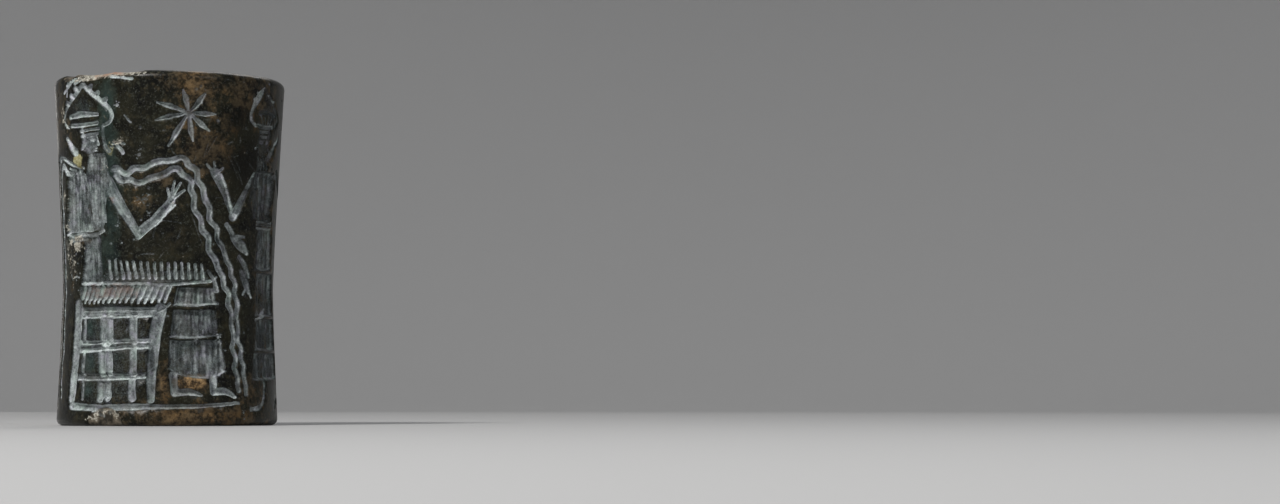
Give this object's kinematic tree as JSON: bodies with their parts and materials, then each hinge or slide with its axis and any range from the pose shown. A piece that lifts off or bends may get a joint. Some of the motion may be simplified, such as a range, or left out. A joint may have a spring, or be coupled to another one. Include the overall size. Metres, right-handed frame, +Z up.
{
  "type": "engraved stone cylinder seal",
  "caption": "Short waisted stone column, drilled end to end for a cord or pin and engraved all round with a scene of horned figures before a seated one.",
  "frame": {"origin": "centre of the flat foot, on the axis of the bore", "axes": "+Z up along the bore; -Y faces the front of the scene, between the seated figure and the standing one before it"},
  "size_m": [0.0252, 0.0252, 0.038],
  "materials": {
    "dark_stone": "polished dark green-brown stone, matt pale grey in the cuts"
  },
  "bodies": {
    "root": {"seal_stone": "dark_stone"}
  },
  "joints": []
}
